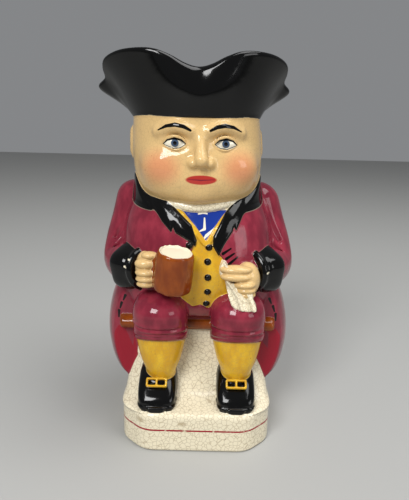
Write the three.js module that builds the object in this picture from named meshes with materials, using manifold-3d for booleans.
// A toby jug: a glazed earthenware jug cast as one hollow piece, in the shape of a seated man
// in a three-cornered hat. The hat's brim is the mouth of the jug, the box seat and plinth are its
// foot, and a loop handle runs down the back. Millimetres, +Z up, the man faces -Y.
import * as THREE from "three";
import { LoftGeometry } from "three/addons/geometries/LoftGeometry.js";
import { mergeVertices } from "three/addons/utils/BufferGeometryUtils.js";
import Module from "manifold-3d";

const wasm = await Module();
wasm.setup();

// ---------------------------------------------------------------- driving dimensions
const WALL = 4.5; // the cast wall
const BRIM = 3.8; // the brim's thickness at the rim
const ORIGIN = { x: 2.3, y: -6.05 }; // brings the middle of the whole jug onto the Z axis
const LEAN = { x: -5.3, z: 225 }; // the casting leans a little to the man's right
const TURN = { degrees: 4, from: 150, to: 166 }; // and the head is turned a little to his left

// Level rings, bottom to top: height, half width, half depth, centre in Y, squareness (2 = ellipse).
const SEAT = [
  { z: 24, a: 46.4, b: 47.5, cy: -5.5, n: 7 },
  { z: 26.5, a: 46.2, b: 44, cy: -2, n: 7 },
  { z: 30, a: 45.8, b: 41, cy: 1, n: 7 },
  { z: 36, a: 45.2, b: 38, cy: 4, n: 7 },
  { z: 46, a: 45, b: 36, cy: 6, n: 7 },
  { z: 70, a: 45, b: 35, cy: 7, n: 7 },
];
const TORSO = [
  { z: 66, a: 46, b: 28, cy: 5, n: 2.4 },
  { z: 76, a: 48.5, b: 31.5, cy: 3.5, n: 2.4 },
  { z: 83, a: 50, b: 38, cy: 1, n: 2.4 },
  { z: 95, a: 50, b: 42, cy: -1, n: 2.4 },
  { z: 108, a: 49, b: 43.5, cy: -1.5, n: 2.4 },
  { z: 122, a: 47, b: 42, cy: -1, n: 2.4 },
  { z: 135, a: 45, b: 39, cy: -0.5, n: 2.4 },
  { z: 147, a: 41, b: 35, cy: 1, n: 2.3 },
  { z: 155, a: 35, b: 31, cy: 2, n: 2.2 },
  { z: 161, a: 26, b: 24, cy: 2, n: 2.1 },
];
const SKIRT = [
  { z: 32, a: 49, b: 41, cy: 3, n: 2.7 },
  { z: 36, a: 53.5, b: 43.5, cy: 3, n: 2.7 },
  { z: 41, a: 56.3, b: 45, cy: 3, n: 2.7 },
  { z: 50, a: 58.8, b: 46, cy: 2.5, n: 2.7 },
  { z: 63, a: 60.2, b: 46, cy: 2, n: 2.7 },
  { z: 78, a: 58.8, b: 44, cy: 1, n: 2.6 },
  { z: 92, a: 54.5, b: 42, cy: 0, n: 2.5 },
  { z: 102, a: 48, b: 38, cy: 0, n: 2.4 },
];
const HEAD = [
  { z: 147.5, a: 23, b: 24, cy: -4, n: 2.15 },
  { z: 151, a: 31, b: 31.5, cy: -5, n: 2.15 },
  { z: 155.5, a: 35.8, b: 36.3, cy: -4.8, n: 2.15 },
  { z: 161, a: 38.3, b: 39, cy: -4, n: 2.15 },
  { z: 169, a: 39.9, b: 40, cy: -3, n: 2.15 },
  { z: 180, a: 40.4, b: 40, cy: -2, n: 2.15 },
  { z: 190, a: 40, b: 39.6, cy: -1.5, n: 2.15 },
  { z: 202, a: 38.8, b: 39, cy: -1.5, n: 2.15 },
];
const LEG = [ // stocking, then the gathered hem of the breeches and the knee
  { z: 40, a: 8.4, b: 8.6, cy: -36, n: 2.1 },
  { z: 47, a: 9.9, b: 10, cy: -37.3, n: 2.1 },
  { z: 54, a: 12.4, b: 12, cy: -37.4, n: 2.1 },
  { z: 65.8, a: 15, b: 13.6, cy: -36.9, n: 2.1 },
  { z: 66.8, a: 16.4, b: 15.4, cy: -37.2, n: 2.1 },
  { z: 71, a: 16.9, b: 16.6, cy: -37.8, n: 2.1 },
  { z: 75, a: 16.5, b: 17.2, cy: -38.5, n: 2.1 },
  { z: 83, a: 17, b: 18.5, cy: -39, n: 2.1 },
  { z: 91, a: 15.3, b: 16.6, cy: -38.6, n: 2.1 },
  { z: 96, a: 11.2, b: 12.4, cy: -37.4, n: 2.1 },
  { z: 98.4, a: 5.5, b: 6.5, cy: -36, n: 2.1 },
];
// The hem is higher in front: the leg's rings tilt by slope about y, most between from and to.
const HEM = { slope: 0.29, y: -40, fadeIn: [47, 64], fadeOut: [80, 95] };
const CAVITY = [ // from the floor in the plinth, through the neck, up into the hat
  { z: 5.5, a: 40.5, b: 42.5, cy: -8, n: 5 },
  { z: 19.5, a: 40.5, b: 42.5, cy: -8, n: 5 },
  { z: 25, a: 40.4, b: 38.5, cy: -4, n: 5 },
  { z: 31, a: 40.3, b: 34.5, cy: 0.5, n: 5 },
  { z: 40, a: 40, b: 31, cy: 4.5, n: 5 },
  { z: 64, a: 40, b: 29, cy: 7, n: 4 },
  { z: 76, a: 42.5, b: 29, cy: 5, n: 3.2 },
  { z: 85, a: 44, b: 33, cy: 1, n: 2.6 },
  { z: 95, a: 45, b: 36.8, cy: -1, n: 2.4 },
  { z: 108, a: 44.2, b: 38.2, cy: -1.5, n: 2.4 },
  { z: 122, a: 42.2, b: 36.8, cy: -1, n: 2.4 },
  { z: 135, a: 39.8, b: 33.5, cy: -0.5, n: 2.3 },
  { z: 146, a: 34, b: 29, cy: 0, n: 2.2 },
  { z: 153, a: 30, b: 26.5, cy: -0.5, n: 2.1 },
  { z: 160, a: 32, b: 31, cy: -2, n: 2.1 },
  { z: 170, a: 34.8, b: 35, cy: -2.5, n: 2.1 },
  { z: 182, a: 35.6, b: 35.3, cy: -2, n: 2.1 },
  { z: 205.5, a: 35.4, b: 35.7, cy: -1.5, n: 2.1 },
];

const PLINTH = { halfWidth: 46.7, front: -58, back: 42, height: 25, chamfer: 15, backChamfer: 9 };
const PLINTH_EDGE = [[1.8, 0], [0.5, 1], [0, 2.6], [0, 22.6], [0.6, 24.2], [2.2, 25]]; // inset, height
const RECESS = { depth: 1.5, rim: 9 }; // the hollow underneath, inside the foot rim
const RAIL = { halfLength: 49, y: -26.5, z: 72.8, halfDepth: 6.5, halfHeight: 4.6, edge: 1.2 };

// The coat stands proud of the waistcoat and the lapels proud of the coat. Outlines in X and Z.
const COAT_PROUD = 1.4;
const LAPEL_PROUD = 2.6;
const OPENING = [ // what the coat leaves open
  [-30, 166], [-22, 152.5], [-10, 141], [-3.4, 134], [-1, 128.5], [-2.9, 123.9], [-8, 115], [-13, 105],
  [-14, 98], [-9, 93.5], [-2.6, 88], [2.2, 89.8], [6.8, 86.8], [17.8, 95.5], [22, 99], [23, 106],
  [19.6, 114], [12.2, 123], [11, 131], [14.5, 139], [21, 148], [30, 159], [32, 166],
];
const LAPELS = [
  [
    [-39, 163], [-36, 157], [-28.5, 151], [-20.5, 139.5], [-15, 133.8], [-13.8, 136.6], [-12.4, 133.6],
    [-4.6, 129.2], [-0.8, 126.4], [-0.1, 129.5], [-3.2, 138.2], [-15.8, 149.8], [-27.5, 159.5], [-30, 164],
  ],
  [
    [39, 163], [35, 157.5], [31, 150.8], [25.8, 140], [23.2, 135], [22, 137.6], [21, 134.6], [16.1, 127.4],
    [12.9, 121], [9.6, 126.5], [9.8, 131.8], [17, 145], [23.6, 152.4], [31, 162], [32, 164],
  ],
];
const LAPEL_DEPTH = { front: -80, back: -4 };
const SKIRT_OPEN = {
  outline: [[-80, 20], [80, 20], [80, 72], [44, 100], [-44, 100], [-80, 72]],
  front: -80,
  back: -27,
};
const VENT = { outline: [[-1.1, 20], [1.1, 20], [0.7, 74], [-0.7, 74]], front: 45.4, back: 80 };

const ARM = {
  path: [[40.5, 6, 146], [43.8, 5, 134], [48, 2, 119], [48.6, -5, 108.5], [43, -19, 108], [36, -29, 109.5]],
  radii: [13.6, 13.4, 13.4, 13.5, 12.4, 10.5],
};
const CUFF = { // a short drum: place along the axis, radius
  from: [44.6, -21, 108],
  to: [30.5, -34.5, 109.5],
  profile: [
    [0, 12.4], [0.07, 14.3], [0.3, 14.7], [0.62, 13.4], [0.76, 12.5], [0.82, 13.1], [0.95, 12.8], [1, 11],
  ],
};
// Each fist: the palm and its fingers from the top down, each with its middle and half its size.
const FISTS = [
  {
    palm: { centre: [-30.5, -43.5, 112.5], radii: [5.6, 7.3, 10.4] },
    fingers: [
      { centre: [-27, -48.3, 121.4], radii: [4.8, 4.4, 2.6] },
      { centre: [-29.4, -48.8, 116.6], radii: [6.4, 4.9, 3.5] },
      { centre: [-29.3, -49.2, 111.6], radii: [6.3, 4.9, 3] },
      { centre: [-29.4, -49, 107.8], radii: [6.1, 4.9, 2.7] },
      { centre: [-29.5, -48.4, 104.6], radii: [5.7, 4.6, 2.7] },
    ],
  },
  {
    palm: { centre: [30.2, -43, 107.3], radii: [7.3, 8.3, 10.2] },
    fingers: [
      { centre: [22.6, -48.6, 114.2], radii: [9.4, 4.6, 3.1] },
      { centre: [22.8, -49.2, 110], radii: [9.2, 4.8, 3.1] },
      { centre: [28, -49.4, 105.6], radii: [6.2, 4.9, 2.9] },
      { centre: [28.8, -49, 102.2], radii: [5.8, 4.8, 2.7] },
      { centre: [29.4, -48.4, 99.4], radii: [5.2, 4.6, 2.5] },
    ],
  },
];
const HANDKERCHIEF = [ // level sections, bottom to top
  { z: 92, x: 27.4, half: 7, y: -55 },
  { z: 96.5, x: 26.4, half: 7, y: -53 },
  { z: 102, x: 23.8, half: 6.2, y: -49.6 },
  { z: 108, x: 20.8, half: 4.4, y: -46.5 },
];
const HANDKERCHIEF_DEPTH = 5.2;
const MUG = { // radius, distance above the bottom; the drink stands a little below the rim
  bottom: [-14.6, -50.4, 102],
  top: [-11.4, -54, 126],
  profile: [
    [0, 0], [10.3, 0], [11.5, 0.9], [11.7, 2.4], [11.2, 4.2], [10.9, 21.8], [10.7, 24.2],
    [10, 25], [9.3, 24.4], [9, 23.5], [0, 24.3],
  ],
};

const LEGS = [{ x: -22.3, shoe: -24.3 }, { x: 24.9, shoe: 24.6 }]; // the middles of leg and shoe in X
const THIGH = { y: -18, z: 84, radii: [18.3, 26, 14.5], hollow: { y: -29, radii: [12.4, 22.5, 9.6] } };
const SHOE = { halfWidth: 11.8, heel: -29, toe: -54.6, instep: 48.6, toeTop: 32, sole: 26, toeStart: 0.62 };
const BUCKLE = { width: 13, height: 5.8, line: 1.3, y: -46.8, z: 40, tilt: 44, thickness: 1.4 };

const EAR = { centre: [38.9, 3, 183.5], radii: [4, 6, 11.5] };
const NOSE = { path: [[0, -41.4, 186], [0, -44.3, 179.5], [0, -46, 175.8]], radii: [2.6, 3.6, 4.7] };
const NOSTRIL = { centre: [3.9, -43.4, 174.8], radii: [2.9, 3.2, 2.6] };
const EYE = { centre: [14.5, -37.4, 185.5], radii: [6.6, 3.4, 3.4] };
const LIPS = [
  { centre: [0, -42.2, 167.2], radii: [8.4, 2.4, 1.7] },
  { centre: [0, -41.9, 164.4], radii: [6.8, 2.7, 2] },
];
const CHIN = { centre: [0, -34.6, 157.5], radii: [11, 7.4, 6.6] };
const HAIR = { centre: [0, 20, 172], radii: [36.5, 24, 25] };
const QUEUE = { centre: [0, 37, 150], radii: [8, 6, 13] }; // the tail of the hair

const BAND = { z: 200.5, a: 40.3, b: 40.6, cy: -1.5 }; // where the hat sits on the head
// Half of the hat's rim, from the dip over the forehead round a corner to the corner at the back.
// swell pushes the brim out between the head and the rim, the further up the greater its rise.
const RIM = [
  { x: 0, y: -42, z: 226, swell: 3, rise: 1 },
  { x: 8, y: -42.9, z: 227.7, swell: 3, rise: 1 },
  { x: 16.5, y: -43.3, z: 231.6, swell: 2, rise: 1 },
  { x: 26, y: -42, z: 234.6, swell: 1, rise: 1 },
  { x: 37, y: -37.5, z: 235.2, swell: 0, rise: 1 },
  { x: 48, y: -29, z: 234.2, swell: -1, rise: 1 },
  { x: 56, y: -18, z: 231.2, swell: -1.5, rise: 1 },
  { x: 58, y: -9, z: 227.2, swell: -1, rise: 1.3 },
  { x: 57, y: -2, z: 223.2, swell: 2, rise: 2 },
  { x: 58.8, y: 4.5, z: 220.8, swell: 6, rise: 2.3 },
  { x: 58.4, y: 11, z: 221, swell: 6.5, rise: 2.2 },
  { x: 48, y: 22, z: 226, swell: 4, rise: 1.3 },
  { x: 31, y: 33, z: 230, swell: 2, rise: 1 },
  { x: 14, y: 44.5, z: 228, swell: 3, rise: 1 },
  { x: 0, y: 54, z: 225, swell: 5, rise: 1 },
];
const HANDLE = {
  path: [
    [0, 34, 189], [0, 50, 192.5], [0, 65, 183], [0, 71.5, 162],
    [0, 70, 136], [0, 61, 110], [0, 47, 93], [0, 36, 88],
  ],
  halfWidth: 6.5,
  halfDepth: 5,
};

// How finely each form is divided round its section.
const COLUMNS = {
  seat: 24, rail: 10, torso: 26, skirt: 26, head: 32, leg: 14, thigh: 12, sleeve: 12, cuff: 14, fist: 9,
  finger: 7, cloth: 11, mug: 13, shoe: 12, ear: 8, nose: 8, nostril: 7, eye: 8, lip: 9, chin: 8, hair: 14,
  queue: 7, hat: 40, handle: 10, cavity: 22, thighHollow: 9,
};

// ---------------------------------------------------------------- shape helpers
const FULL = 2 * Math.PI;
const count = (length) => Array.from({ length }, (_, i) => i);
const around = (columns, start = 0) => count(columns).map((j) => (FULL * (j + start)) / columns);
const signedPower = (value, power) => Math.sign(value) * Math.abs(value) ** power;

// A smooth curve through the stations' values of one key.
function through(stations, at, key) {
  const t = stations.map((s) => s[at]);
  const v = stations.map((s) => s[key]);
  const last = t.length - 1;
  const slope = (i) => {
    const [a, b] = [Math.max(i - 1, 0), Math.min(i + 1, last)];
    return (v[b] - v[a]) / (t[b] - t[a]);
  };
  return (x) => {
    let i = 0;
    while (i < last - 1 && x > t[i + 1]) i++;
    const h = t[i + 1] - t[i];
    const u = THREE.MathUtils.clamp((x - t[i]) / h, 0, 1);
    const [u2, u3] = [u * u, u * u * u];
    return (
      (2 * u3 - 3 * u2 + 1) * v[i] + (u3 - 2 * u2 + u) * h * slope(i) +
      (3 * u2 - 2 * u3) * v[i + 1] + (u3 - u2) * h * slope(i + 1)
    );
  };
}

// A closed, two-ended skin through sections of equally many points.
const loft = (sections) => new LoftGeometry(sections, { capStart: true, capEnd: true });

// A body with one level superellipse at each station, widened all round by grow.
function stack(stations, columns, { grow = 0, cx = 0 } = {}) {
  return loft(stations.map(({ z, a, b, cy, n }) => around(columns, 0.5).map((angle) => new THREE.Vector3(
    cx + (a + grow) * signedPower(Math.cos(angle), 2 / n),
    cy + (b + grow) * signedPower(Math.sin(angle), 2 / n),
    z,
  ))));
}

// A round-ended limb: ellipses of changing size along a smooth path. side lies across the path and
// flat is the section's depth as a part of its width, which lies along side.
function limb(path, radii, columns, { rows, side = new THREE.Vector3(1, 0, 0), flat = 1, ends = 2 }) {
  const curve = new THREE.CatmullRomCurve3(path.map((p) => new THREE.Vector3(...p)));
  const knots = radii.map((radius, i) => ({ t: i / (radii.length - 1), radius }));
  const radiusAt = radii.length > 1 ? through(knots, "t", "radius") : () => radii[0];
  const section = (t, forward, scale) => {
    const tangent = curve.getTangent(t);
    const across = new THREE.Vector3().crossVectors(tangent, side).normalize();
    const along = new THREE.Vector3().crossVectors(across, tangent).normalize();
    const r = radiusAt(t) * scale;
    return around(columns).map((angle) => curve.getPoint(t)
      .addScaledVector(tangent, forward * radiusAt(t))
      .addScaledVector(along, r * Math.cos(angle))
      .addScaledVector(across, r * flat * Math.sin(angle)));
  };
  const domes = count(ends).map((i) => ((i + 0.6) / (ends + 0.6)) * (Math.PI / 2));
  const start = domes.map((angle) => section(0, -Math.cos(angle), Math.sin(angle)));
  const middle = count(rows + 1).map((i) => section(i / rows, 0, 1));
  const end = domes.map((angle) => section(1, Math.cos(angle), Math.sin(angle))).reverse();
  return loft([...start, ...middle, ...end]);
}

// A short drum round the axis from start to finish.
function drum(start, finish, profile, columns) {
  const forward = finish.clone().sub(start);
  const across = new THREE.Vector3(0, 0, 1).cross(forward).normalize();
  const up = forward.clone().cross(across).normalize();
  return loft(profile.map(([t, r]) => around(columns).map((angle) => start.clone()
    .addScaledVector(forward, t)
    .addScaledVector(across, r * Math.cos(angle))
    .addScaledVector(up, r * Math.sin(angle)))));
}

function ellipsoid([x, y, z], [rx, ry, rz], columns) {
  const rows = Math.ceil(0.6 * columns);
  return new THREE.SphereGeometry(1, columns, rows).rotateX(Math.PI / 2).scale(rx, ry, rz).translate(x, y, z);
}

// An outline in X and Z, extruded from front to back.
function slab({ outline, front, back }) {
  const shape = new THREE.Shape(outline.map(([x, z]) => new THREE.Vector2(x, z)));
  return new THREE.ExtrudeGeometry(shape, { depth: back - front, bevelEnabled: false })
    .rotateX(Math.PI / 2)
    .translate(0, back, 0);
}

function solid(geometry) {
  const bare = new THREE.BufferGeometry().copy(geometry);
  for (const name of ["normal", "uv"]) bare.deleteAttribute(name);
  const { attributes, index } = mergeVertices(bare, 1e-4);
  return new wasm.Manifold(new wasm.Mesh({
    numProp: 3,
    vertProperties: attributes.position.array,
    triVerts: new Uint32Array(index.array),
  }));
}

const join = (...solids) => solids.reduce((all, one) => all.add(one));
const both = (make) => [-1, 1].map(make); // the same thing on both sides of the man
const mirrored = ([x, y, z], s) => [s * x, y, z];

// ---------------------------------------------------------------- foot: plinth, seat and rail
function plinthOutline(inset, z) {
  const { halfWidth, front, back, chamfer, backChamfer } = PLINTH;
  const w = halfWidth - inset;
  const [f, k] = [front + inset, back - inset];
  return [
    [w, f + chamfer], [w, k - backChamfer], [w - backChamfer, k], [backChamfer - w, k],
    [-w, k - backChamfer], [-w, f + chamfer], [chamfer - w, f], [w - chamfer, f],
  ].map(([x, y]) => new THREE.Vector3(x, y, z));
}

function plinth() {
  const below = -1;
  const recess = [below, RECESS.depth].map((z) => plinthOutline(RECESS.rim, z));
  return solid(loft(PLINTH_EDGE.map(([inset, z]) => plinthOutline(inset, z)))).subtract(solid(loft(recess)));
}

function seat() {
  const { halfLength, y, z, halfDepth, halfHeight, edge } = RAIL;
  const sections = [[-halfLength, edge], [edge - halfLength, 0], [halfLength - edge, 0], [halfLength, edge]];
  const rail = loft(sections.map(([x, inset]) => around(COLUMNS.rail).map((angle) => new THREE.Vector3(
    x,
    y + (halfDepth - inset) * Math.cos(angle),
    z + (halfHeight - inset) * Math.sin(angle),
  ))));
  return join(solid(stack(SEAT, COLUMNS.seat)), solid(rail));
}

// ---------------------------------------------------------------- the man
function coatBody() {
  const body = (grow) => solid(stack(TORSO, COLUMNS.torso, { grow }));
  const opening = solid(slab({ outline: OPENING, front: LAPEL_DEPTH.front, back: LAPEL_DEPTH.back - 2 }));
  const lapels = LAPELS.map((outline) =>
    body(LAPEL_PROUD).intersect(solid(slab({ outline, ...LAPEL_DEPTH }))));
  return join(body(0), body(COAT_PROUD).subtract(opening), ...lapels);
}

// The skirts of the coat hang over the sides and back of the seat and are open in front.
function skirts() {
  return solid(stack(SKIRT, COLUMNS.skirt)).subtract(solid(slab(SKIRT_OPEN))).subtract(solid(slab(VENT)));
}

function arms() {
  return join(...both((s) => {
    const path = ARM.path.map((p) => mirrored(p, s));
    const sleeve = limb(path, ARM.radii, COLUMNS.sleeve, { rows: 6 });
    const [from, to] = [CUFF.from, CUFF.to].map((p) => new THREE.Vector3(...mirrored(p, s)));
    return join(solid(sleeve), solid(drum(from, to, CUFF.profile, COLUMNS.cuff)));
  }));
}

function hands() {
  return join(...FISTS.flatMap(({ palm, fingers }) => [
    solid(ellipsoid(palm.centre, palm.radii, COLUMNS.fist)),
    ...fingers.map(({ centre, radii }) => solid(ellipsoid(centre, radii, COLUMNS.finger))),
  ]));
}

function handkerchief() {
  const folds = (angle) => HANDKERCHIEF_DEPTH + 0.8 * Math.cos(3 * angle);
  return solid(loft(HANDKERCHIEF.map(({ z, x, half, y }) => around(COLUMNS.cloth).map((angle) =>
    new THREE.Vector3(x + half * Math.cos(angle), y + folds(angle) * Math.sin(angle), z)))));
}

function mug() {
  const [bottom, top] = [MUG.bottom, MUG.top].map((p) => new THREE.Vector3(...p));
  const upright = new THREE.Vector3(0, 1, 0);
  const tilt = new THREE.Quaternion().setFromUnitVectors(upright, top.sub(bottom).normalize());
  const profile = MUG.profile.map((p) => new THREE.Vector2(...p));
  return solid(new THREE.LatheGeometry(profile, COLUMNS.mug).applyQuaternion(tilt).translate(...MUG.bottom));
}

// ---------------------------------------------------------------- legs
function shoe(cx) {
  const { halfWidth, heel, toe, instep, toeTop, sole, toeStart } = SHOE;
  const rows = 7;
  const sections = count(rows + 1).map((i) => {
    const v = Math.sin(((i / rows) * Math.PI) / 2) ** 0.9;
    const tip = Math.max(v - toeStart, 0) / (1 - toeStart);
    const round = Math.sqrt(Math.max(1 - 0.9 * tip * tip, 0.02));
    const roof = THREE.MathUtils.lerp(instep, toeTop, v ** 1.9);
    const [half, high] = [halfWidth * round, (roof - sole) * (0.35 + 0.65 * round)];
    return around(COLUMNS.shoe).map((angle) => {
      const [c, s] = [signedPower(Math.cos(angle), 0.7), signedPower(Math.sin(angle), 0.7)];
      const x = cx + half * c * (1 - 0.08 * Math.max(s, 0));
      return new THREE.Vector3(x, heel + (toe - heel) * v, sole + (high / 2) * (1 + s));
    });
  });
  return solid(loft(sections));
}

// A frame with a bar down its middle.
function buckle(cx) {
  const { width, height, line, y, z, tilt, thickness } = BUCKLE;
  const place = (geometry) => solid(geometry.rotateX(THREE.MathUtils.degToRad(tilt)).translate(cx, y, z));
  const window = (width - 3 * line) / 2;
  const windows = both((s) => place(new THREE.BoxGeometry(window, height - 2 * line, 2 * thickness)
    .translate((s * (window + line)) / 2, 0, 0)));
  const plate = place(new THREE.BoxGeometry(width, height, thickness));
  return windows.reduce((frame, hole) => frame.subtract(hole), plate);
}

function leg(cx) {
  const { slope, y, fadeIn, fadeOut } = HEM;
  return solid(stack(LEG, COLUMNS.leg, { cx })).warp((position) => {
    const z = position[2];
    const share = THREE.MathUtils.smoothstep(z, ...fadeIn) * (1 - THREE.MathUtils.smoothstep(z, ...fadeOut));
    position[2] = z + slope * share * (y - position[1]);
  });
}

function legs() {
  return join(...LEGS.map(({ x, shoe: foot }) => {
    const thigh = ellipsoid([x, THIGH.y, THIGH.z], THIGH.radii, COLUMNS.thigh);
    return join(leg(x), solid(thigh), shoe(foot), buckle(foot));
  }));
}

// ---------------------------------------------------------------- head and hat
function head() {
  const pair = ({ centre, radii }, columns) => both((s) => ellipsoid(mirrored(centre, s), radii, columns));
  const features = [
    ...pair(EAR, COLUMNS.ear),
    ...pair(EYE, COLUMNS.eye),
    ...pair(NOSTRIL, COLUMNS.nostril),
    limb(NOSE.path, NOSE.radii, COLUMNS.nose, { rows: 2 }),
    ...LIPS.map(({ centre, radii }) => ellipsoid(centre, radii, COLUMNS.lip)),
    ellipsoid(CHIN.centre, CHIN.radii, COLUMNS.chin),
    ellipsoid(HAIR.centre, HAIR.radii, COLUMNS.hair),
    ellipsoid(QUEUE.centre, QUEUE.radii, COLUMNS.queue),
  ];
  return join(solid(stack(HEAD, COLUMNS.head)), ...features.map(solid));
}

// The distance from the Z axis to the hat band in a direction.
function bandRadius(angle) {
  const { a, b, cy } = BAND;
  const [c, s] = [Math.cos(angle) / a, Math.sin(angle) / b];
  const [square, half, rest] = [c * c + s * s, (s * cy) / b, (cy * cy) / (b * b) - 1];
  return (half + Math.sqrt(half * half - square * rest)) / square;
}

// The hat is one closed skin: up the outside of the brim, over the rim and down the inside.
function hat() {
  const otherSide = RIM.slice(1, -1).reverse().map(({ x, ...rest }) => ({ x: -x, ...rest }));
  const knots = [...RIM, ...otherSide].map(({ x, y, ...rest }) => {
    const angle = Math.atan2(y, x);
    return { angle: angle < -Math.PI / 2 ? angle + FULL : angle, radius: Math.hypot(x, y), ...rest };
  });
  const turned = (by) => knots.map((knot) => ({ ...knot, angle: knot.angle + by }));
  const wrapped = [...turned(-FULL), ...knots, ...turned(FULL)];
  const along = (key) => through(wrapped, "angle", key);
  const [radiusAt, heightAt, swellAt, riseAt] = ["radius", "z", "swell", "rise"].map(along);

  const sheet = (t, inwards, drop = 0) => around(COLUMNS.hat).map((turn) => {
    const angle = turn - Math.PI / 2;
    const low = bandRadius(angle);
    const swell = swellAt(angle) * Math.sin(Math.PI * t ** riseAt(angle));
    const r = low + (radiusAt(angle) - low) * t + swell - inwards;
    const z = BAND.z + (heightAt(angle) - BAND.z) * t - drop;
    return new THREE.Vector3(r * Math.cos(angle), r * Math.sin(angle), z);
  });
  const band = [sheet(0, 2.5, 1.6), sheet(0, 0.5, 0.9)];
  const outside = [0.06, 0.26, 0.48, 0.7, 0.92].map((t) => sheet(t, 0));
  const lip = [sheet(1, 0.7, 0.6), sheet(1, BRIM / 2, 0), sheet(1, BRIM - 0.7, 0.6)];
  const inside = [0.8, 0.5, 0.24, 0.03].map((t) => sheet(t, BRIM + (WALL - BRIM) * (1 - t)));
  const middle = new THREE.Vector3(0, BAND.cy, BAND.z + 3);
  const floor = inside.at(-1).map((p) => middle.clone().lerp(p, 0.1));
  return solid(loft([...band, ...outside, ...lip, ...inside, floor]));
}

function handle() {
  const { path, halfWidth, halfDepth } = HANDLE;
  return solid(limb(path, [halfWidth], COLUMNS.handle, { rows: 12, flat: halfDepth / halfWidth, ends: 1 }));
}

// ---------------------------------------------------------------- the jug
// The lean and the turn of the head, applied to every point.
function settle(position) {
  const [x, y, z] = position;
  const angle = THREE.MathUtils.degToRad(TURN.degrees) * THREE.MathUtils.smoothstep(z, TURN.from, TURN.to);
  position[0] = x * Math.cos(angle) - y * Math.sin(angle) + LEAN.x * (z / LEAN.z) ** 2 + ORIGIN.x;
  position[1] = x * Math.sin(angle) + y * Math.cos(angle) + ORIGIN.y;
}

function hollow() {
  const thighs = LEGS.map(({ x }) =>
    solid(ellipsoid([x, THIGH.hollow.y, THIGH.z], THIGH.hollow.radii, COLUMNS.thighHollow)));
  return join(solid(stack(CAVITY, COLUMNS.cavity)), ...thighs);
}

function jug() {
  const foot = join(plinth(), seat());
  const man = join(skirts(), coatBody(), arms(), hands(), handkerchief(), mug(), legs(), head());
  return join(foot, man, hat(), handle()).subtract(hollow()).warp(settle);
}

function geometryOf(made) {
  const { numProp, vertProperties, triVerts } = made.getMesh();
  const position = count(vertProperties.length / numProp).flatMap((i) =>
    Array.from(vertProperties.subarray(i * numProp, i * numProp + 3)));
  const geometry = new THREE.BufferGeometry();
  geometry.setAttribute("position", new THREE.Float32BufferAttribute(position, 3));
  geometry.setIndex(Array.from(triVerts));
  geometry.computeVertexNormals();
  return geometry;
}

const glaze = new THREE.MeshStandardMaterial({ color: 0x8a2740, roughness: 0.12, metalness: 0 });
const mesh = new THREE.Mesh(geometryOf(jug()), glaze);
mesh.name = "toby_jug";

const group = new THREE.Group();
group.add(mesh);

export default group;
